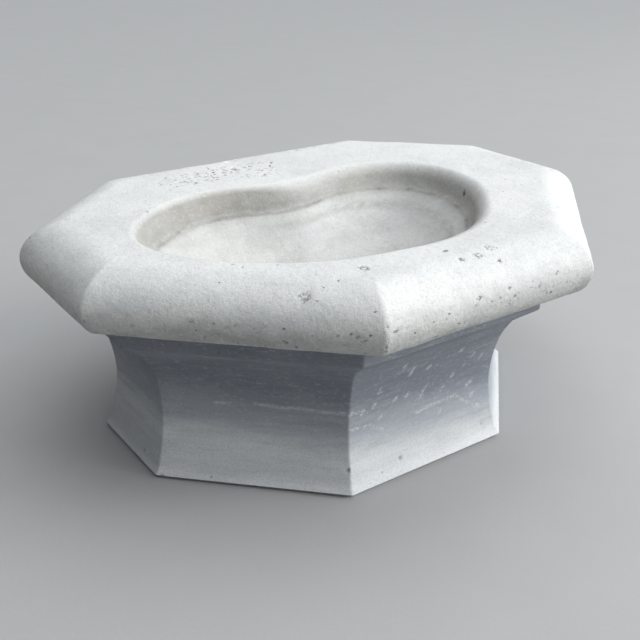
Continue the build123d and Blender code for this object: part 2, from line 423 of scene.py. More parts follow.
def octagon(reach, inset, height, arris):
    """One ring round the eight sides, with its corners rounded to the radius arris."""
    ring = []
    for side in range(SIDES):
        start, end = corner(reach, side - 1, inset), corner(reach, side, inset)
        along = (end - start) / np.linalg.norm(end - start)
        cut = along * arris * tan(TURN / 2)
        for t in np.linspace(0, 1, SIDE_COLUMNS[side]):
            ring.append((start + cut) * (1 - t) + (end - cut) * t)
        outward = (side_normal(side) + side_normal(side + 1)) / 2
        outward /= np.linalg.norm(outward)
        centre = end - outward * arris / cos(TURN / 2)
        for k in range(1, COLUMNS_ON_CORNER):
            angle = FIRST_SIDE + (side + k / COLUMNS_ON_CORNER) * TURN
            ring.append(centre + arris * np.array((cos(angle), sin(angle))))
    return np.column_stack([np.array(ring), np.full(len(ring), height)])


def bearings(ring):
    """The direction of each point of a ring as seen from the drain."""
    return np.arctan2(ring[:, 1] - DRAIN.y, ring[:, 0] - DRAIN.x)


def round_ring(angles, radii, height):
    """A ring round the drain, at the given distance in each direction."""
    x, y = DRAIN.x + radii * np.cos(angles), DRAIN.y + radii * np.sin(angles)
    return np.column_stack([x, y, np.zeros(len(angles)) + height])


def ellipse(angles, axes, height):
    """An elliptical ring round the drain, with its half lengths along X and Y."""
    a, b = axes
    return round_ring(angles, a * b / np.hypot(b * np.cos(angles), a * np.sin(angles)), height)


def between(first, last, count):
    """count rings spread between two rings, without either of them."""
    return [first + (last - first) * t for t in np.linspace(0, 1, count + 2)[1:-1]]


def through_stops(start, *stops):
    """Rings from start through each stop, which says how many rings lead up to it."""
    rings = [start]
    for count, stop in stops:
        rings += [*between(rings[-1], stop, count), stop]
    return rings


def closed_section(start, exposed, hidden):
    """A stone's rings in one array, with 1 for each that is exposed to wear and 0 for the rest."""
    open_rings = [0] + [1] * len(exposed) + [0] * len(hidden)
    return np.array([start, *exposed, *hidden]), np.array(open_rings, float)


def lip_radii(angles):
    """The lip's outline about the drain, gauged on the wall of the CAD model's bowl."""
    graph = bpy.context.evaluated_depsgraph_get()
    tree = bvhtree.BVHTree.FromObject(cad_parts["basin_stone"], graph)
    origin = Vector((DRAIN.x, DRAIN.y, TOP - GAUGE_DROP))
    gauged = [tree.ray_cast(origin, Vector((cos(a), sin(a), 0)))[3] for a in angles]
    return np.array(gauged) / GAUGE_SCALE


# ---------------------------------------------------------------- the two stones, unworn


def rim_edge():
    """Rings from the bed joint round the nose and up on to the land."""
    rings = []
    for t in np.linspace(0, 1, LOW_EDGE_RINGS + 1)[1:]:
        inset = LOW_ROUND_OUT * (1 - sin(t * pi / 2))
        height = NOSE_Z - (NOSE_Z - JOINT_TOP) * cos(t * pi / 2)
        rings.append(octagon(RIM, inset, height, RIM_ARRIS))
    for t in np.linspace(0, 1, TOP_EDGE_RINGS + 1)[1:]:
        inset = TOP_ROUND_OUT * (1 - cos(t * pi / 2))
        height = NOSE_Z + (TOP - NOSE_Z) * sin(t * pi / 2)
        rings.append(octagon(RIM, inset, height, RIM_ARRIS))
    return rings


def climb(rings):
    """How far each point of the bowl is lifted, so that the crease runs higher on the right."""
    drop = TOP - rings[..., 2]
    near_crease = bell(drop, CREASE_DROP, CREASE_REACH)
    below_lip = smooth(drop, 3 * MM, 24 * MM)
    to_the_right = smooth(rings[..., 0], -40 * MM, 70 * MM)
    return CREASE_CLIMB * near_crease * below_lip * to_the_right


def bowl(angles):
    """Rings over the lip, down the wall and across the floor to the rebate."""
    lip = lip_radii(angles)
    section = through(BOWL_SECTION, 200)
    rings = []
    to_the_left = smooth(-np.cos(angles), -0.35, 0.3)
    rounding = LIP_ROUND - LIP_TIGHTER * to_the_left
    for t in np.linspace(0, 1, LIP_RINGS):
        drop = rounding * (1 - cos(t * pi / 2))
        scale = np.interp(drop / MM, section[:, 0], section[:, 1])
        rings.append(round_ring(angles, lip * scale + rounding * (1 - sin(t * pi / 2)), TOP - drop))
    weights = (1, SCALE_WEIGHT)
    below_lip = section[section[:, 0] > LIP_ROUND / MM]
    for drop, scale in evenly(below_lip * weights, WALL_RINGS + 1)[1:] / weights:
        room = (lip * scale - REBATE) / MM
        kept_open = REBATE + MM * np.log1p(np.exp(room))
        ring = round_ring(angles, kept_open, TOP - drop * MM)
        ring[:, 2] += climb(ring)
        rings.append(ring)
    rings.append(round_ring(angles, REBATE, FLOOR))
    return rings


def basin_rings():
    """Every ring of the basin stone, in order round its section, and how open each is to wear."""
    seat = octagon(RIM, LOW_ROUND_OUT, JOINT_TOP, RIM_ARRIS)
    edge = rim_edge()
    angles = bearings(edge[-1])
    inside = bowl(angles)
    land = between(edge[-1], inside[0], LAND_RINGS)
    hidden = through_stops(
        inside[-1],
        (0, round_ring(angles, REBATE, REBATE_FLOOR)),
        (0, round_ring(angles, WASTE_HOLE, REBATE_FLOOR)),
        (HOLE_RINGS, round_ring(angles, WASTE_HOLE, BOSS_BOTTOM)),
        (BOSS_FACE_RINGS, ellipse(angles, BOSS_END_AXES, BOSS_BOTTOM)),
        (HIDDEN_RINGS, ellipse(angles, BOSS_TOP_AXES, JOINT_TOP)),
        (HIDDEN_RINGS, seat),
    )
    return closed_section(seat, edge + land + inside[:-1], hidden[:-1])


def body_rings():
    """Every ring of the body, in order round its section, and how open each is to wear."""

    def ring(inset, height):
        return octagon(BAND, inset, height, BODY_ARRIS)

    foot = ring(FOOT_INSET + FOOT_BEVEL, 0)
    bevel = [ring(FOOT_INSET + FOOT_BEVEL * (1 - t), FOOT_BEVEL * t) for t in BEVEL_STEPS]
    cove = [ring(inset * MM, height * MM) for inset, height in through(COVE, COVE_RINGS)]
    soffit = ring(*SOFFIT)
    band = [ring(0, BAND_LOW + height * MM) for height in BAND_HEIGHTS]
    band_top = ring(0, JOINT_LOW - BAND_EDGE)
    top = ring(BAND_EDGE, JOINT_LOW)
    angles = bearings(top)
    exposed = bevel + cove + between(cove[-1], soffit, SOFFIT_RINGS) + [soffit, *band, band_top]
    hidden = through_stops(
        top,
        (HIDDEN_RINGS, ellipse(angles, POCKET_TOP_AXES, JOINT_LOW)),
        (HIDDEN_RINGS, ellipse(angles, POCKET_END_AXES, POCKET_BOTTOM)),
        (POCKET_FLOOR_RINGS, round_ring(angles, WELL, POCKET_BOTTOM)),
        (HIDDEN_RINGS, round_ring(angles, WELL, 0)),
        (HIDDEN_RINGS, foot),
    )
    return closed_section(foot, exposed, hidden[:-1])


# ---------------------------------------------------------------- wear


def ring_normals(rings):
    """The outward direction at each point of a closed net of rings."""
    round_ring_way = np.roll(rings, -1, axis=1) - np.roll(rings, 1, axis=1)
    section_way = np.roll(rings, -1, axis=0) - np.roll(rings, 1, axis=0)
    normals = np.cross(round_ring_way, section_way)
    return normals / np.maximum(np.linalg.norm(normals, axis=2, keepdims=True), 1e-12)


class Wear:
    """How deep a stone is cut back at each point, and how far each point counts as a pit."""

    def __init__(self, rings, open_rings):
        self.rings = rings
        self.points = rings.reshape(-1, 3)
        self.normals = ring_normals(rings).reshape(-1, 3)
        self.share = np.repeat(open_rings, rings.shape[1])
        self.depth = np.zeros(len(self.points))
        self.pit = np.zeros(len(self.points))
        self.ragged = fractal(self.points, 3 * MM, 2, 5)

    def rub(self, size, depth, octaves, seed, stretch=(1, 1, 1)):
        """A gentle unevenness from nothing to depth."""
        waves = np.clip(fractal(self.points, size, octaves, seed, stretch), -1, 1)
        self.depth += depth * (0.5 + 0.5 * waves)

    def cut(self, place, radius, depth, squash=(1, 1, 1), dirt=1.0):
        """One pit or chip, with a ragged outline."""
        offset = (self.points - np.array(place)) / np.array(squash)
        distance = np.linalg.norm(offset, axis=1) * (1 + 0.45 * self.ragged)
        inside = 1 - smooth(distance, 0.35 * radius, radius)
        self.depth += depth * inside
        self.pit = np.maximum(self.pit, dirt * inside)

    def ring(self, place, radius, depth):
        """A pit with a standing middle, as round a lost crystal."""
        distance = np.linalg.norm(self.points - np.array(place), axis=1)
        inside = bell(distance * (1 + 0.7 * self.ragged), 0.7 * radius, 0.35 * radius)
        self.depth += depth * inside
        self.pit = np.maximum(self.pit, 0.6 * inside)

    def scatter(self, chance, count, radii, depths, seed, dirt=1.0):
        """Many pits, placed where chance is high."""
        rng = np.random.default_rng(seed)
        chosen = rng.choice(len(self.points), size=count, p=chance / chance.sum())
        for k in chosen:
            grow = rng.uniform() ** 2
            radius = radii[0] + (radii[1] - radii[0]) * grow
            depth = depths[0] + (depths[1] - depths[0]) * grow
            self.cut(self.points[k], radius, depth, dirt=dirt * rng.uniform(0.4, 1))

    def worn(self):
        """The rings after wear."""
        moved = self.points - self.normals * (self.depth * self.share)[:, None]
        return moved.reshape(self.rings.shape)


def near_spot(points, place, radius, squash=(1, 1, 1)):
    """1 at a place given in millimetres, fading to 0 at the radius."""
    distance = np.linalg.norm((points - np.array(place) * MM) / np.array(squash), axis=1)
    return 1 - smooth(distance, 0, radius)


def near_line(points, line, width):
    """1 on a line given in millimetres, fading to 0 at the width from it."""
    nearest = np.full(len(points), 1.0)
    for a, b in zip(np.array(line, float) * MM, np.array(line[1:], float) * MM):
        share = np.clip((points - a) @ (b - a) / ((b - a) @ (b - a)), 0, 1)
        nearest = np.minimum(nearest, np.linalg.norm(points - a - share[:, None] * (b - a), axis=1))
    return 1 - smooth(nearest, 0.2 * width, width)


def add_piece(name, vertices, faces):
    """A new object, shaded smooth except at its sharp edges."""
    mesh = bpy.data.meshes.new(name)
    mesh.from_pydata(vertices.tolist(), [], faces)
    mesh.shade_smooth()
    mesh.set_sharp_from_angle(angle=SHARP_EDGE)
    piece = bpy.data.objects.new(name, mesh)
    bpy.context.scene.collection.objects.link(piece)
    return piece


def closed_mesh(name, rings, attributes=None):
    """A closed mesh from a net of rings, with a number on each point for each attribute."""
    count, around = rings.shape[:2]
    ring, column = np.meshgrid(np.arange(count), np.arange(around), indexing="ij")
    next_ring, next_column = (ring + 1) % count, (column + 1) % around
    corners = [ring * around + column, ring * around + next_column]
    corners += [next_ring * around + next_column, next_ring * around + column]
    faces = np.stack(corners, axis=-1).reshape(-1, 4)
    piece = add_piece(name, rings.reshape(-1, 3), faces.tolist())
    for label, values in (attributes or {}).items():
        layer = piece.data.attributes.new(label, "FLOAT", "POINT")
        layer.data.foreach_set("value", np.ascontiguousarray(values.ravel(), np.float32))
    return piece


def drill_dowel_holes(piece, low, high):
    """Blind holes for the dowels, cut into a stone."""
    lead = np.array([v.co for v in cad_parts["dowel_lead"].data.vertices])
    quarters = {(x > 0, y > 50 * MM) for x, y in lead[:, :2]}
    tools = []
    for right, back in sorted(quarters):
        near = lead[((lead[:, 0] > 0) == right) & ((lead[:, 1] > 50 * MM) == back)]
        middle = (near.min(0) + near.max(0)) / 2
        place = (middle[0], middle[1], (low + high) / 2)
        size = {"vertices": CUTTER_SIDES, "radius": DOWEL_HOLE, "depth": high - low}
        bpy.ops.mesh.primitive_cylinder_add(location=place, **size)
        tools.append(bpy.context.object)
    for tool in tools:
        cut = piece.modifiers.new("dowel_hole", "BOOLEAN")
        cut.operation = "DIFFERENCE"
        cut.solver = "EXACT"
        cut.object = tool
    graph = bpy.context.evaluated_depsgraph_get()
    drilled = bpy.data.meshes.new_from_object(piece.evaluated_get(graph), depsgraph=graph)
    piece.modifiers.clear()
    piece.data = drilled
    for tool in tools:
        bpy.data.objects.remove(tool)


def bowl_share(rings):
    """1 for each point in the bowl and 0 for the rest, with a ramp across the lip."""
    share = np.zeros(rings.shape[:2])
    start = 1 + LOW_EDGE_RINGS + TOP_EDGE_RINGS + LAND_RINGS
    share[start : start + LIP_RINGS + WALL_RINGS] = 1
    share[start : start + LIP_RINGS] = np.linspace(0, 1, LIP_RINGS)[:, None]
    return share.ravel()


def wear_rim(wear, outside, patch):
    """Pits and chips of the rim: mostly below the nose, in the rough patch and on the top edge."""
    above_nose = smooth(wear.points[:, 2], NOSE_Z - 4 * MM, NOSE_Z + 12 * MM)
    chance = outside * (1 - above_nose) + 0.03 * outside
    wear.scatter(chance, 420, (0.6 * MM, 1.3 * MM), (0.2 * MM, 0.55 * MM), seed=11, dirt=0.75)
    wear.scatter(patch, 60, (1.2 * MM, 2.6 * MM), (0.4 * MM, 0.9 * MM), seed=12)
    for place in RINGED_PITS:
        wear.ring(np.array(place) * MM, 3.2 * MM, 0.6 * MM)
    for place in LAND_PITS:
        wear.cut(np.array(place) * MM, 2.4 * MM, 0.6 * MM)
    for place in RIM_PITS:
        wear.cut(np.array(place) * MM, 1.7 * MM, 0.7 * MM, (1.5, 1.5, 0.8), dirt=0.75)
    for place, radius in EDGE_CHIPS:
        size, depth = 0.7 * radius * MM, 0.22 * radius * MM
        wear.cut(np.array(place) * MM, size, depth, (1.4, 0.9, 1), dirt=0.3)


def crease_dirt_and_shade(points):
    """How dark the bowl's crease and the fainter line below it are: dirt gathered in the lines, and
    painted shade in a soft band just above the crease.
    """
    drop = TOP - (points[:, 2] - climb(points))
    broken = 0.5 + 0.5 * smooth(fractal(points, 26 * MM, 2, 6), -0.35, 0.35)
    line = bell(drop, CREASE_DROP, CREASE_WIDTH) * broken
    # Painted shade: a soft darker band just above the crease
    shade = 0.45 * bell(drop, CREASE_SHADE_DROP, CREASE_SHADE_WIDTH) * broken
    second = 0.4 * bell(drop, SECOND_LINE_DROP, SECOND_LINE_WIDTH)
    second *= smooth(points[:, 0], -60 * MM, 0)
    return np.max([line, shade, second], axis=0)


def make_basin():
    """The basin stone, worn, with its shares of pit, bowl, crease, roughness and stain."""
    wear = Wear(*basin_rings())
    points = wear.points
    rebate_gap = np.linalg.norm(points[:, :2] - np.array(DRAIN.xy), axis=1) - REBATE
    wear.share *= smooth(rebate_gap, 0, 12 * MM)
    wear.rub(70 * MM, 0.9 * MM, octaves=3, seed=1)
    wear.rub(14 * MM, 0.45 * MM, octaves=3, seed=2)
    inside = bowl_share(wear.rings)
    outside = wear.share * (1 - inside)
    patch = near_spot(points, ROUGH_PATCH, 88 * MM, (1, 0.36, 1)) * outside
    wear_rim(wear, outside, patch)
    # The spot on the bowl's wall, the scar on its lip and the crack in its crease
    spot = near_spot(points, BROWN_SPOT, 6 * MM) * inside
    wear.cut(np.array(BROWN_SPOT) * MM, 2.6 * MM, 0.8 * MM)
    scar = near_line(points, LIP_SCAR, 1.8 * MM)
    crack = near_line(points, CREASE_CRACK, 4 * MM) * inside
    wear.depth += 0.8 * MM * crack + 0.6 * MM * scar
    wear.pit = np.maximum(wear.pit, scar)
    marks = {
        "pit": wear.pit * wear.share,
        "bowl": inside,
        "crease": np.maximum(crease_dirt_and_shade(points), crack) * inside,
        "rough": patch,
        "stain": np.maximum(0.5 * near_spot(points, YELLOW_STAIN, 34 * MM) * inside, spot),
    }
    piece = closed_mesh("basin", wear.worn(), marks)
    drill_dowel_holes(piece, JOINT_TOP - CUTTER_PAST, JOINT_TOP + DOWEL_DEPTH)
    return piece


def make_body():
    """The body stone, worn, with its shares of pit and of pale vein or dent."""
    wear = Wear(*body_rings())
    points, share = wear.points, wear.share
    wear.rub(60 * MM, 0.35 * MM, octaves=2, seed=3)
    wear.rub(10 * MM, 0.12 * MM, octaves=3, seed=4, stretch=(1.5, 1.5, 0.6))
    wear.scatter(share + 1e-9, 60, (0.8 * MM, 2.0 * MM), (0.15 * MM, 0.5 * MM), seed=13)
    for place in BODY_PITS:
        wear.cut(np.array(place) * MM, 2.2 * MM, 0.8 * MM)
    pale = np.zeros(len(points))
    for x, z in STUN_MARKS:
        stroke = [(x - 0.9, 0, z - 1.2), (x + 0.9, 0, z + 1.2)]
        pale = np.maximum(pale, near_line(points * (1, 0, 1), stroke, 2.6 * MM))
    pale *= 0.8 * smooth(-points[:, 1], 110 * MM, 113 * MM)
    for line in PALE_VEINS:
        pale = np.maximum(pale, 0.9 * near_line(points, line, 2.2 * MM))
    pale = np.maximum(pale, near_spot(points, BODY_FLECK, 4 * MM))
    marks = {"pit": wear.pit * share, "pale": pale * share}
    piece = closed_mesh("body", wear.worn(), marks)
    drill_dowel_holes(piece, JOINT_LOW - DOWEL_DEPTH, JOINT_LOW + CUTTER_PAST)
    return piece


# ---------------------------------------------------------------- waste fittings and plug


def turned(name, section, shape=None):
    """A ring-shaped piece about the drain. section is a closed line of (radius, height) in mm."""
    angles = np.linspace(0, 2 * pi, ROUND, endpoint=False)
    rings = []
    for radius, height in section:
        radii = np.full(ROUND, float(radius))
        if shape:
            radii = shape(radii, height, angles)
        rings.append(round_ring(angles, radii * MM, height * MM))
    return closed_mesh(name, np.array(rings))


def hexagon(flats, low, high):
    """Gives points beyond the flats' half width a hexagonal outline with turned-off corners."""

    def shape(radii, height, angles):
        if radii[0] < flats / 2:
            return radii
        hexagonal = flats / 2 / np.cos(angles % (pi / 3) - pi / 6)
        end_gap = min(height - low, high - height)
        return np.minimum(hexagonal, flats / 2 + 0.1 + 1.7 * end_gap)

    return shape


def screw(low, high):
    """Cuts a thread into the points of the thread's radius between two heights."""

    def shape(radii, height, angles):
        if abs(radii[0] - THREAD_RADIUS) > 0.01:
            return radii
        phase = (height / THREAD_PITCH - angles / (2 * pi)) % 1
        fade = smooth(height, low, low + THREAD_RUNOUT)
        fade *= 1 - smooth(height, high - THREAD_RUNOUT, high)
        return radii - THREAD_DEPTH * fade * np.abs(2 * phase - 1)

    return shape


def rounded_edge(radius, top):
    """A quarter round of 1 mm from the side of a disc on to its top."""
    turns = np.linspace(0, pi / 2, 5)[1:]
    return [(radius - (1 - cos(t)), top - 1 + sin(t)) for t in turns]


def make_waste():
    """The waste: spigot, screwed tail, flange with a slightly dished face, and bore."""
    top, low = FLOOR / MM, WASTE_LOW.z / MM
    flange_low, spigot_high = top - FLANGE_THICKNESS, low + SPIGOT_LENGTH
    spigot = [(SPIGOT_RADIUS - 1, low), (SPIGOT_RADIUS, low + 1), (SPIGOT_RADIUS, low + 11)]
    spigot += [(SPIGOT_RADIUS, spigot_high - 0.01)]
    heights = np.arange(spigot_high, flange_low - 0.2, THREAD_PITCH / 8)
    tail = [(THREAD_RADIUS, z) for z in heights] + [(THREAD_RADIUS, flange_low)]
    flange = [(FLANGE_RADIUS - 0.6, flange_low), (FLANGE_RADIUS, flange_low + 0.5)]
    flange += [(FLANGE_RADIUS, top - 1)] + rounded_edge(FLANGE_RADIUS, top)
    dish = [(22, top - 0.05), (19, top - 0.1), (16, top - 0.25), (14.4, top - 0.6)]
    bore = [(BORE_RADIUS, top - 1.4)]
    bore += [(BORE_RADIUS, z) for z in np.linspace(top - 6, low + 1, 8)] + [(14.2, low)]
    section = spigot + tail + flange + dish + bore
    return turned("waste_fitting", section, screw(spigot_high, flange_low))


def make_strainer():
    """The cross of bars in the waste, let into the wall of its bore."""
    half, end = STRAINER_BAR / 2 * MM, (BORE_RADIUS + STRAINER_LET_IN) * MM
    quarter = [(end, -half), (end, half), (half, half)]
    outline = []
    for turn in range(4):
        c, s = round(cos(turn * pi / 2)), round(sin(turn * pi / 2))
        outline += [(c * x - s * y, s * x + c * y) for x, y in quarter]
    low = FLOOR - STRAINER_DROP * MM
    high = low + STRAINER_BAR * MM
    vertices = [(DRAIN.x + x, DRAIN.y + y, z) for z in (low, high) for x, y in outline]
    count = len(outline)
    faces = [tuple(range(count))[::-1], tuple(range(count, 2 * count))]
    faces += [(k, (k + 1) % count, count + (k + 1) % count, count + k) for k in range(count)]
    return add_piece("strainer", np.array(vertices), faces)


def make_backnut():
    """A hexagon nut with turned-off corners and a chamfered bore."""
    high = BOSS_BOTTOM / MM - WASHER_THICKNESS
    low = high - BACKNUT_THICKNESS
    bore, edge = THREAD_RADIUS + THREAD_PLAY, BACKNUT_FLATS / 2 + 1
    outside = [(edge, z) for z in (low, low + 0.7, low + 1.4, low + 2.1, low + 5)]
    outside += [(edge, z) for z in (high - 2.1, high - 1.4, high - 0.7, high)]
    top_face = [(bore + 3, high), (bore + 0.8, high), (bore, high - 0.8)]
    low_face = [(bore, low + 0.8), (bore + 0.8, low), (bore + 3, low)]
    section = outside + top_face + low_face
    return turned("backnut", section, hexagon(BACKNUT_FLATS, low, high))


def bulging_edge(radius, low, high, bulge, count):
    """The pressed-out edge of a rubber ring, from its low face to its high face."""
    half = (high - low) / 2
    turns = np.linspace(0, pi, count)
    return [(radius - bulge * (1 - sin(t)), low + half - half * cos(t)) for t in turns]


def make_washer():
    """A flat rubber washer."""
    high = BOSS_BOTTOM / MM
    low = high - WASHER_THICKNESS
    bore = THREAD_RADIUS + THREAD_PLAY
    edge = bulging_edge(WASHER_RADIUS, low, high, WASHER_BULGE, 9)
    faces = [(24, high), (20, high), (bore, high), (bore, low), (20, low)]
    return turned("washer", edge + faces)


def make_plug():
    """Stem, cap and ball knob, turned in one piece, with fine grooves round the cap."""
    cap_low = FLOOR / MM + SEAL_THICKNESS
    top = cap_low + CAP_THICKNESS
    stem_low = cap_low - STEM_LENGTH
    stem = [(0, stem_low), (STEM_RADIUS - 0.4, stem_low), (STEM_RADIUS, stem_low + 0.4)]
    stem += [(STEM_RADIUS, cap_low)]
    cap = [(CAP_RADIUS - 0.4, cap_low), (CAP_RADIUS, cap_low + 0.4), (CAP_RADIUS, top - 1)]
    cap += rounded_edge(CAP_RADIUS, top)
    for radius in CAP_GROOVES:
        cap += [(radius + 0.3, top), (radius, top - 0.25), (radius - 0.3, top)]
    neck = [(4.2, top), (3, top + 0.2), (2.3, top + 0.7)]
    knob_z = top + KNOB_RADIUS
    turns = np.linspace(-0.95, pi / 2, 14)[:-1]
    ball = [(KNOB_RADIUS * cos(t), knob_z + KNOB_RADIUS * sin(t)) for t in turns]
    section = stem + cap + neck + ball + [(0, knob_z + KNOB_RADIUS)]
    angles = np.linspace(0, 2 * pi, ROUND, endpoint=False)
    rings = [round_ring(angles, np.full(ROUND, r * MM), z * MM) for r, z in section[1:-1]]
    ends = [(DRAIN.x, DRAIN.y, section[0][1] * MM), (DRAIN.x, DRAIN.y, section[-1][1] * MM)]
    vertices = np.vstack([*rings, ends])
    bottom, last = len(rings) * ROUND, (len(rings) - 1) * ROUND
    faces = []
    for k in range(ROUND):
        after = (k + 1) % ROUND
        faces.append((bottom, after, k))
        faces.append((last + k, last + after, bottom + 1))
        for start in range(0, last, ROUND):
            faces.append((start + k, start + after, start + ROUND + after, start + ROUND + k))
    return add_piece("plug_turned", vertices, faces)


def make_plug_seal():
    """The rubber ring under the plug's cap."""
    low = FLOOR / MM
    high = low + SEAL_THICKNESS
    edge = bulging_edge(SEAL_RADIUS, low, high, SEAL_BULGE, 7)
    return turned("seal", edge + [(12, high), (NUT_BORE, high), (NUT_BORE, low), (12, low)])


def make_plug_nut():
    """A round guide collar with a small hexagon below it."""
    high = FLOOR / MM
    collar_low = high - GUIDE_THICKNESS
    low = collar_low - PLUG_NUT_THICKNESS
    edge = PLUG_NUT_FLATS / 2 + 1
    section = [(NUT_BORE, high), (NUT_BORE, low), (3.8, low)]
    section += [(edge, z) for z in (low, low + 0.5, low + 1, collar_low)]
    section += [(GUIDE_RADIUS - 0.5, collar_low), (GUIDE_RADIUS, collar_low + 0.5)]
    section += [(GUIDE_RADIUS, high - 0.5), (GUIDE_RADIUS - 0.5, high)]
    hexagonal = hexagon(PLUG_NUT_FLATS, low, high)

    def shape(radii, height, angles):
        return radii if radii[0] > edge else hexagonal(radii, height, angles)

    return turned("guide_nut", section, shape)


# ---------------------------------------------------------------- materials


class Look:
    """One material's node tree, which lays tones over a colour and adds to a height."""

    def __init__(self, name, colour, **surface):
        self.material = bpy.data.materials.new(name)
        self.material.use_nodes = True
        self.tree = self.material.node_tree
        self.shader = self.tree.nodes["Principled BSDF"]
        for socket, value in surface.items():
            self.shader.inputs[socket.replace("_", " ")].default_value = value
        self.place = self.node("ShaderNodeTexCoord").outputs["Object"]
        self.x, _, self.z = self.node("ShaderNodeSeparateXYZ", Vector=self.place).outputs
        self.colour = colour
        self.height = 0.0

    def node(self, kind, settings=None, **inputs):
        made = self.tree.nodes.new(kind)
        for name, value in (settings or {}).items():
            setattr(made, name, value)
        for name, value in inputs.items():
            self.feed(made.inputs[name.replace("_", " ")], value)
        return made

    def feed(self, socket, value):
        if isinstance(value, bpy.types.NodeSocket):
            self.tree.links.new(value, socket)
        else:
            socket.default_value = value

    def math(self, operation, first, second):
        made = self.node("ShaderNodeMath", {"operation": operation})
        self.feed(made.inputs[0], first)
        self.feed(made.inputs[1], second)
        return made.outputs[0]

    def times(self, first, second):
        return self.math("MULTIPLY", first, second)

    def plus(self, first, second):
        return self.math("ADD", first, second)

    def step(self, value, low, high, start=0.0, end=1.0):
        """An eased step from start to end as value goes from low to high."""
        made = self.node("ShaderNodeMapRange", {"interpolation_type": "SMOOTHSTEP"})
        for socket, number in zip(made.inputs[:5], (value, low, high, start, end)):
            self.feed(socket, number)
        return made.outputs[0]

    def spread(self, size, stretch, seed):
        """The place in units of size metres, moved to a part of the noise of its own."""
        scale = tuple(1 / (size * s) for s in stretch)
        shift = (seed * 3.71, seed * -5.13, seed * 2.19)
        made = self.node("ShaderNodeMapping", Vector=self.place, Scale=scale, Location=shift)
        return made.outputs[0]

    def noise(self, size, detail=2.0, rough=0.5, stretch=(1, 1, 1), seed=0):
        where = self.spread(size, stretch, seed)
        made = self.node("ShaderNodeTexNoise", Vector=where, Scale=1.0, Detail=detail)
        made.inputs["Roughness"].default_value = rough
        return made.outputs[0]

    def specks(self, size, share, reach, stretch=(1, 1, 1), seed=0, soft=0.5):
        """Spots in a share of scattered cells: 1 in a spot's middle, 0 outside it."""
        where = self.spread(size, stretch, seed)
        cells = self.node("ShaderNodeTexVoronoi", Vector=where, Scale=1.0).outputs
        lot = self.node("ShaderNodeSeparateColor", Color=cells["Color"]).outputs[0]
        spot = self.step(cells["Distance"], reach * (1 - soft), reach, 1.0, 0.0)
        return self.times(spot, self.math("LESS_THAN", lot, share))

    def carried(self, name):
        """A number carried on the mesh's points."""
        return self.node("ShaderNodeAttribute", {"attribute_name": name}).outputs["Fac"]

    def tint(self, tone, share, strength=1.0):
        """Lays a tone over the colour so far, where share is high."""
        made = self.node("ShaderNodeMix", {"data_type": "RGBA"})
        self.feed(made.inputs[0], self.times(share, strength))
        for socket, value in zip(made.inputs[6:8], (self.colour, tone)):
            self.feed(socket, (*value, 1.0) if isinstance(value, tuple) else value)
        self.colour = made.outputs[2]

    def raise_by(self, metres, share):
        """Adds to the height so far."""
        self.height = self.plus(self.height, self.times(share, metres))

    def finish(self, roughness):
        """Joins colour, roughness and height to the shader."""
        self.feed(self.shader.inputs["Base Color"], self.colour)
        self.feed(self.shader.inputs["Roughness"], roughness)
        bump = self.node("ShaderNodeBump", Height=self.height, Distance=1.0, Strength=1.0)
        self.feed(self.shader.inputs["Normal"], bump.outputs[0])
        return self.material


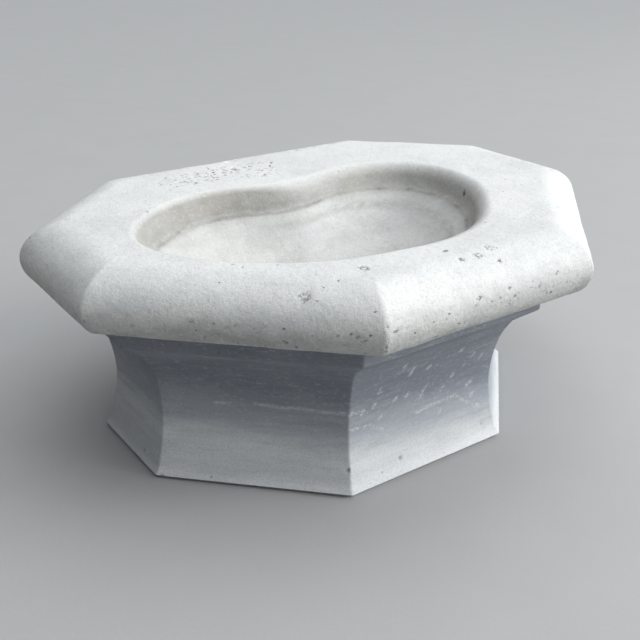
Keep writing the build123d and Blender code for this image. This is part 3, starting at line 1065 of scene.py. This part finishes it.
def white_marble():
    """Pale, pitted marble: dirtier and painted in shade below the nose, and darker and stained in
    the bowl.
    """
    look = Look("white_marble", WHITE, IOR=STONE_IOR)
    bowl_share, pit = look.carried("bowl"), look.carried("pit")
    cloud = look.step(look.noise(45 * MM, 4.0, 0.6, (1.5, 1.5, 0.6), 2), 0.35, 0.7)
    look.tint(CLOUD_GREY, cloud)
    beds = look.step(look.noise(5 * MM, 5.0, 0.65, (9, 9, 0.9), 3), 0.5, 0.75)
    look.tint(BED_GREY, beds, 0.28)
    # The edge is greyer and dirtier below the nose, and darkened there with painted shade from the
    # rim's overhang
    outside = look.math("SUBTRACT", 1.0, bowl_share)
    wavy = look.plus(look.z, look.times(look.noise(15 * MM, 3.0, 0.6, seed=22), 12 * MM))
    low = look.step(wavy, NOSE_Z - 8 * MM, NOSE_Z + 22 * MM, 1.0, 0.0)
    low = look.times(low, outside)
    dirt_and_shade = look.step(look.noise(12 * MM, 5.0, 0.7, (2, 2, 1), 23), 0.4, 0.7)
    dirt_and_shade = look.plus(look.times(dirt_and_shade, 0.32), 0.42)
    look.tint(EDGE_DIRT_AND_SHADE, low, dirt_and_shade)
    # The bowl is darker, mostly on its wall and more to the left, and darkest along its crease
    mottle = look.step(look.noise(11 * MM, 5.0, 0.7, (1.6, 1.6, 0.8), 24), 0.38, 0.68)
    wall = look.times(bowl_share, look.step(look.z, TOP - 26 * MM, TOP - 17 * MM, 0.04, 0.42))
    floor_share = look.times(bowl_share, look.step(look.x, -110 * MM, 40 * MM, 0.42, 0.14))
    mottled = look.times(bowl_share, look.times(mottle, 0.2))
    look.tint(BOWL_DARKER, look.plus(wall, look.plus(mottled, floor_share)))
    warm = look.step(look.noise(20 * MM, 4.0, 0.65, (1.4, 1.4, 0.7), 38), 0.48, 0.68)
    look.tint(BOWL_WARM, wall, look.times(warm, 0.9))
    shake = look.step(look.noise(3.5 * MM, 4.0, 0.7, (2.5, 2.5, 0.7), 5), 0.3, 0.62)
    crease = look.times(look.carried("crease"), look.plus(look.times(shake, 0.65), 0.35))
    # The crease's dirt, with painted shade in a soft band above it
    look.tint(CREASE_DIRT_AND_SHADE, crease, 0.85)
    look.tint(CRACK_DARK, look.step(crease, 0.9, 1.0, 0.0, 0.85))
    stain = look.carried("stain")
    look.tint(YELLOW, stain, look.step(mottle, 0.0, 1.0, 0.35, 0.6))
    look.tint(BROWN, look.step(stain, 0.75, 1.0, 0.0, 0.8))
    # Grain, specks and dirt held in pits
    grain = look.noise(1.0 * MM, 2.0, 0.7, seed=7)
    coarse = look.noise(2.6 * MM, 4.0, 0.75, seed=25)
    look.tint(GRAIN_GREY, look.step(grain, 0.4, 0.72, 0.0, 0.3))
    fewer_inside = look.step(bowl_share, 0.0, 1.0, 1.0, 0.55)
    look.tint(GLINT, look.step(coarse, 0.54, 0.7, 0.0, 0.4), fewer_inside)
    look.tint(GRIT, look.step(coarse, 0.46, 0.32, 0.0, 0.3))
    specks = look.times(look.specks(5 * MM, 0.13, 0.15, (1.8, 1.8, 1), 8), outside)
    more_below = look.plus(look.times(low, 0.5), 0.3)
    look.tint(SPECK, specks, more_below)
    gather = look.times(low, look.step(look.noise(22 * MM, 3.0, 0.6, seed=28), 0.42, 0.62))
    nicks = look.times(look.specks(2.4 * MM, 0.26, 0.26, (1.6, 1.6, 0.9), 29), gather)
    dashes = look.specks(3.2 * MM, 0.6, 0.33, (1.9, 0.9, 1), 26)
    dashes = look.times(dashes, look.step(look.carried("rough"), 0.1, 0.55))
    dashes = look.math("MAXIMUM", nicks, dashes)
    look.tint(NICK, dashes, 0.75)
    fray = look.step(look.noise(1.5 * MM, 4.0, 0.8, seed=33), 0.4, 0.6, 0.15, 1.0)
    held = look.step(look.times(pit, fray), 0.12, 0.7)
    look.tint(PIT_DIRT, held, 0.62)
    rough = look.plus(look.times(look.noise(8 * MM, 3.0, 0.6, seed=9), 0.25), 0.5)
    look.raise_by(0.22 * MM, grain)
    look.raise_by(look.plus(look.times(low, 0.6 * MM), 0.3 * MM), coarse)
    look.raise_by(0.35 * MM, look.noise(5 * MM, 3.0, 0.6, seed=10))
    look.raise_by(-0.6 * MM, look.plus(look.plus(specks, dashes), held))
    return look.finish(rough)


def grey_marble():
    """Blue-grey bedded marble: slate above and pale at the foot, partly painted shade under the rim
    and painted light on the foot, with veins and stun marks.
    """
    look = Look("grey_marble", GREY, IOR=STONE_IOR)
    # The beds are tilted and slightly wavy, and ragged where the colour changes
    wave = look.times(look.plus(look.noise(90 * MM, 2.0, 0.5, seed=11), -0.5), 9 * MM)
    level = look.plus(look.z, look.plus(wave, look.times(look.x, BED_TILT)))
    tears = look.plus(look.noise(6 * MM, 5.0, 0.7, (5, 5, 1), 12), -0.5)
    ragged = look.plus(level, look.times(tears, 16 * MM))
    # Slate above, pale grey at the foot and darker beds higher up: partly the stone's own colour,
    # partly painted shade under the rim's overhang and painted light on the upturned foot
    look.tint(SLATE_AND_SHADE, look.step(ragged, 32 * MM, 66 * MM))
    look.tint(FOOT_GREY_AND_LIGHT, look.step(ragged, 12 * MM, 38 * MM, 1.0, 0.0))
    beds = look.step(look.noise(5 * MM, 5.0, 0.7, (7, 7, 0.8), 13), 0.42, 0.7)
    darker_above = look.step(look.z, 10 * MM, 60 * MM, 0.1, 0.22)
    look.tint(DARK_BED, beds, darker_above)
    pale = look.step(look.noise(7 * MM, 5.0, 0.7, (6, 6, 0.8), 14), 0.52, 0.75)
    look.tint(PALE_BED, pale, 0.28)
    cloud = look.step(look.noise(28 * MM, 3.0, 0.6, (1.6, 1.6, 0.8), 15), 0.4, 0.7)
    look.tint(PALE_CLOUD, cloud, 0.15)
    # Stun marks and thin veins, frayed at their edges
    fray = look.step(look.noise(1.8 * MM, 4.0, 0.8, (1.4, 1.4, 0.8), 16), 0.36, 0.62, 0.1, 1.0)
    flecks = look.step(look.times(look.carried("pale"), fray), 0.05, 0.75)
    look.tint(FLECK, flecks, 0.55)
    small = look.specks(7 * MM, 0.12, 0.12, (1.5, 1.5, 1), 17, 0.7)
    look.tint(SMALL_FLECK, small, 0.4)
    grain = look.noise(0.9 * MM, 2.0, 0.7, seed=19)
    look.tint(DARK_GRAIN, look.step(grain, 0.4, 0.72, 0.0, 0.24))
    dapple = look.noise(2.4 * MM, 4.0, 0.75, (1.5, 1.5, 0.9), 34)
    look.tint(PALE_GRAIN, look.step(dapple, 0.53, 0.7, 0.0, 0.25))
    look.tint(BODY_PIT_DIRT, look.carried("pit"), 0.6)
    rough = look.plus(look.times(look.noise(9 * MM, 3.0, 0.6, seed=20), 0.2), 0.45)
    look.raise_by(0.12 * MM, grain)
    look.raise_by(0.16 * MM, look.noise(6 * MM, 3.0, 0.6, (3, 3, 1), 21))
    look.raise_by(0.1 * MM, flecks)
    return look.finish(rough)


def small_piece(name, colour, dull, rough, metallic=1.0, grain=0.05):
    """Clouded, stained and finely scratched, for the metals, rubber, putty and mortar."""
    look = Look(name, colour, Metallic=metallic)
    cloud = look.step(look.noise(6 * MM, 4.0, 0.65, seed=30), 0.4, 0.65)
    look.tint(dull, cloud)
    fine = look.noise(0.9 * MM, 3.0, 0.7, seed=35)
    look.tint(dull, look.step(fine, 0.45, 0.7, 0.0, 0.35))
    spots = look.specks(3 * MM, 0.2, 0.25, seed=36)
    darker = tuple(0.45 * share for share in dull)
    look.tint(darker, spots, 0.6)
    scratches = look.step(look.noise(2 * MM, 2.0, 0.5, (0.12, 6, 6), 37), 0.62, 0.7)
    look.tint(colour, scratches, 0.3)
    dull_share = look.plus(look.times(look.noise(4 * MM, 3.0, 0.6, seed=31), 0.3), rough)
    rough_value = look.plus(dull_share, look.times(spots, 0.2))
    look.raise_by(grain * MM, look.noise(1.2 * MM, 3.0, 0.6, seed=32))
    look.raise_by(-0.04 * MM, look.plus(spots, scratches))
    return look.finish(rough_value)


def dress(node, material):
    """Gives a CAD node that keeps its own shape a better material."""
    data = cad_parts[node].data
    data.materials.clear()
    data.materials.append(material)


# ---------------------------------------------------------------- the scene


def area_light(name, place, aim, size, power, colour):
    data = bpy.data.lights.new(name, "AREA")
    data.shape = "DISK"
    data.size = size
    data.energy = power
    data.color = colour
    lamp = bpy.data.objects.new(name, data)
    lamp.location = place
    lamp.rotation_euler = (Vector(aim) - Vector(place)).to_track_quat("-Z", "Y").to_euler()
    bpy.context.scene.collection.objects.link(lamp)


def make_stage():
    """A plain pale floor."""
    bpy.ops.mesh.primitive_plane_add(size=FLOOR_SIZE, location=(0, 0, 0))
    floor = bpy.context.object
    floor.name = "floor"
    look = Look("pale_floor", FLOOR_GREY)
    look.tint(FLOOR_CLOUD, look.noise(60 * MM, 4.0, 0.6, seed=40))
    look.raise_by(0.1 * MM, look.noise(3 * MM, seed=41))
    floor.data.materials.append(look.finish(0.85))


def make_lights():
    """A soft dome, brightest high up on the right, and one broad lamp on that side."""
    world = bpy.data.worlds.new("studio")
    bpy.context.scene.world = world
    world.use_nodes = True
    nodes, links = world.node_tree.nodes, world.node_tree.links
    direction = nodes.new("ShaderNodeTexCoord").outputs["Generated"]
    facing = nodes.new("ShaderNodeVectorMath")
    facing.operation = "DOT_PRODUCT"
    facing.inputs[1].default_value = Vector(DOME_AXIS).normalized()
    links.new(direction, facing.inputs[0])
    fade = nodes.new("ShaderNodeMapRange")
    fade.interpolation_type = "SMOOTHSTEP"
    for socket, value in zip(fade.inputs[1:5], (DOME_EDGE, 1.0, DOME_LOW, DOME_HIGH)):
        socket.default_value = value
    links.new(facing.outputs["Value"], fade.inputs[0])
    background = nodes["Background"]
    background.inputs["Color"].default_value = DOME_COLOUR
    links.new(fade.outputs[0], background.inputs["Strength"])
    area_light("key", KEY_PLACE, KEY_AIM, KEY_SIZE, KEY_POWER, KEY_COLOUR)


def make_camera():
    """The camera at the photo's viewing angle."""
    data = bpy.data.cameras.new("camera")
    data.lens = CAMERA_LENS
    data.sensor_width = CAMERA_SENSOR
    data.clip_start = 10 * MM
    camera = bpy.data.objects.new("camera", data)
    camera.location = CAMERA_PLACE
    camera.rotation_euler = (pi / 2 - CAMERA_DOWN, 0, -CAMERA_RIGHT)
    bpy.context.scene.collection.objects.link(camera)
    bpy.context.scene.camera = camera


# ---------------------------------------------------------------- everything in its place


basin = make_basin()
basin.data.materials.append(white_marble())
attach(basin, "font")
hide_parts("basin_stone")

body = make_body()
body.data.materials.append(grey_marble())
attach(body, "font")
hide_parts("body_stone")

brass = small_piece("aged_brass", (0.42, 0.33, 0.18), (0.17, 0.145, 0.10), 0.34)
bronze = small_piece("dowel_bronze", (0.45, 0.27, 0.14), (0.20, 0.13, 0.08), 0.4)
lead = small_piece("lead", (0.30, 0.31, 0.33), (0.16, 0.165, 0.175), 0.5)
rubber = small_piece("rubber", (0.03, 0.03, 0.03), (0.05, 0.048, 0.045), 0.6, 0.0)
putty = small_piece("putty", (0.55, 0.50, 0.40), (0.42, 0.38, 0.30), 0.6, 0.0, 0.3)
mortar = small_piece("lime_mortar", (0.62, 0.58, 0.50), (0.48, 0.45, 0.39), 0.7, 0.0, 0.6)

fittings = [
    (make_waste, "waste", "font", brass, "aged_brass"),
    (make_strainer, "waste", "font", brass, "aged_brass"),
    (make_backnut, "waste_backnut", "font", brass, "aged_brass"),
    (make_washer, "waste_washer", "font", rubber, "rubber"),
    (make_plug, "plug", "plug", brass, "aged_brass"),
    (make_plug_seal, "plug_seal", "plug", rubber, "rubber"),
    (make_plug_nut, "plug_nut", "plug", brass, "aged_brass"),
]
for make, node, rider, material, slot in fittings:
    piece = make()
    piece.data.materials.append(material)
    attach(piece, rider)
    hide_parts(node)
dress("dowels", bronze)
dress("dowel_lead", lead)
dress("waste_putty", putty)
dress("bed_mortar", mortar)

make_stage()
make_lights()
make_camera()
bpy.context.scene.view_settings.view_transform = "Standard"
bpy.context.scene.view_settings.look = "Medium High Contrast"
